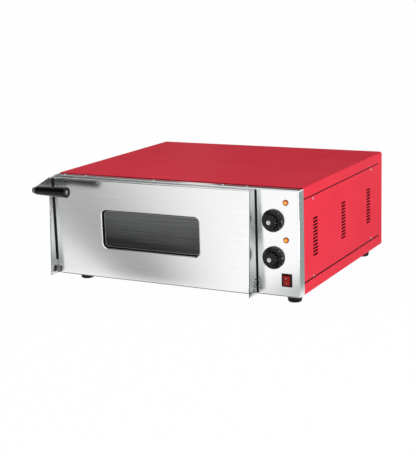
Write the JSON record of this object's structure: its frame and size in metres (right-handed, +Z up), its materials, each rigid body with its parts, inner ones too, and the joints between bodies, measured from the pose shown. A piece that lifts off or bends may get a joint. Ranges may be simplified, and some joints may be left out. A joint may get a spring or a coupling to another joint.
{
  "type": "countertop pizza oven",
  "caption": "Low electric deck oven for pizza: red sheet casing, polished front, drop-down door with a window and side handle, heated stone deck, thermostat knobs, lamps and a rocker switch.",
  "frame": {"origin": "middle of the footprint of the whole oven, door shut, on the surface under its feet", "axes": "+Z up, front with the door faces -Y, controls on the +X side"},
  "size_m": [0.675, 0.6834, 0.2838],
  "materials": {
    "red_coat": "satin red powder coat",
    "polished_stainless": "polished stainless sheet",
    "plain_steel": "mill finish steel",
    "black_bakelite": "moulded black phenolic",
    "black_rubber": "moulded rubber",
    "mineral_wool": "loose mineral fibre",
    "cordierite": "fired refractory stone",
    "element_sheath": "heat darkened steel tube",
    "smoked_glass": "tempered dark glass",
    "amber_lens": "clear amber moulding",
    "red_rocker": "translucent red moulding",
    "steatite": "pressed ceramic"
  },
  "bodies": {
    "casing": {"top_cover": "red_coat", "base_tray": "red_coat", "rear_panel": "red_coat", "left_side_panel": "red_coat", "right_side_panel": "red_coat", "front_panel": "polished_stainless", "front_left_foot": "black_rubber", "front_right_foot": "black_rubber", "rear_left_foot": "black_rubber", "rear_right_foot": "black_rubber", "chamber": "plain_steel", "insulation_jacket": "mineral_wool", "front_chamber_support": "plain_steel", "rear_chamber_support": "plain_steel", "pizza_stone": "cordierite", "left_stone_ledge": "plain_steel", "right_stone_ledge": "plain_steel", "upper_heating_element": "element_sheath", "lower_heating_element": "element_sheath", "upper_element_rack": "plain_steel", "lower_element_rack": "plain_steel", "upper_thermostat": "steatite", "lower_thermostat": "steatite", "upper_thermostat_bulb": "plain_steel", "lower_thermostat_bulb": "plain_steel", "upper_lamp_lens": "amber_lens", "lower_lamp_lens": "amber_lens", "upper_lamp_nut": "black_bakelite", "lower_lamp_nut": "black_bakelite", "switch_housing": "black_bakelite", "terminal_block": "steatite", "cord_gland": "black_rubber", "left_hinge_bracket": "plain_steel", "right_hinge_bracket": "plain_steel"},
    "door": {"door_skin": "polished_stainless", "door_inner_panel": "plain_steel", "door_glass": "smoked_glass", "window_lining": "black_rubber", "door_insulation": "mineral_wool", "left_door_plate": "polished_stainless", "right_door_plate": "polished_stainless", "left_hinge_pin": "plain_steel", "right_hinge_pin": "plain_steel", "handle_grip": "black_bakelite", "handle_bolt": "black_bakelite", "handle_washer": "plain_steel"},
    "upper_knob": {"upper_knob": "black_bakelite", "upper_knob_cap": "polished_stainless", "upper_thermostat_shaft": "plain_steel"},
    "lower_knob": {"lower_knob": "black_bakelite", "lower_knob_cap": "polished_stainless", "lower_thermostat_shaft": "plain_steel"},
    "rocker": {"switch_rocker": "red_rocker"}
  },
  "joints": [
    {"name": "door_hinge", "type": "hinge", "parent": "casing", "child": "door", "pos_m": [-0.051, -0.26265, 0.0408], "axis": [1, 0, 0], "range_deg": [0, 78]},
    {"name": "upper_knob_turn", "type": "hinge", "parent": "casing", "child": "upper_knob", "pos_m": [0.2725, -0.24445, 0.2088], "axis": [0, 1, 0], "range_deg": [0, 300]},
    {"name": "lower_knob_turn", "type": "hinge", "parent": "casing", "child": "lower_knob", "pos_m": [0.2725, -0.24445, 0.1208], "axis": [0, 1, 0], "range_deg": [0, 300]},
    {"name": "switch_rock", "type": "hinge", "parent": "casing", "child": "rocker", "pos_m": [0.305, -0.24315, 0.0692], "axis": [-1, 0, 0], "range_deg": [0, 18]}
  ]
}
